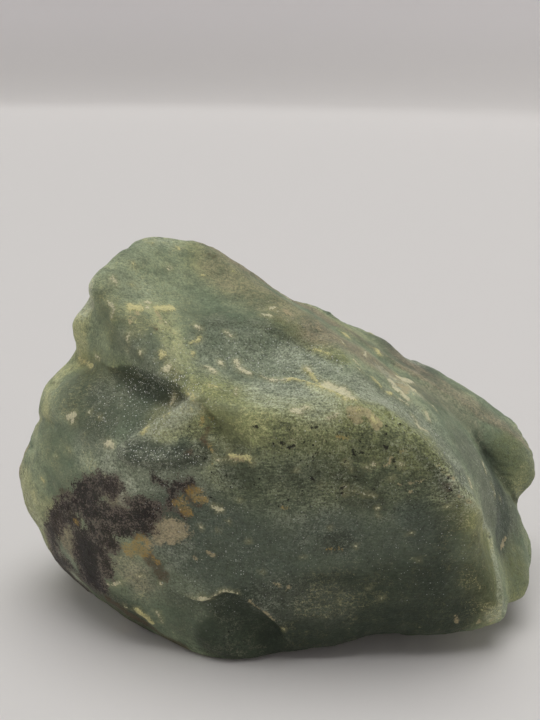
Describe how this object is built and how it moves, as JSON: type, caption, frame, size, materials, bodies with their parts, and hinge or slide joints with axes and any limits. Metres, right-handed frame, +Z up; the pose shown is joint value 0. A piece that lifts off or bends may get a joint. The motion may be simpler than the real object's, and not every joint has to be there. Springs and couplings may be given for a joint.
{
  "type": "raw aventurine stone",
  "caption": "Rough broken lump of green aventurine quartz with a tall crown, a hollow shelf and a low far lobe, standing on a flat break.",
  "frame": {"origin": "on the ground plane, under the middle of the stone's bounding box", "axes": "+Z up; +X along the longest side, from the tall crown at -X to the low lobe at +X; the broad dark face looks toward -Y"},
  "size_m": [0.0858, 0.0542, 0.0601],
  "materials": {
    "aventurine": "rough broken quartz with a fine glitter"
  },
  "bodies": {
    "root": {"stone": "aventurine"}
  },
  "joints": []
}
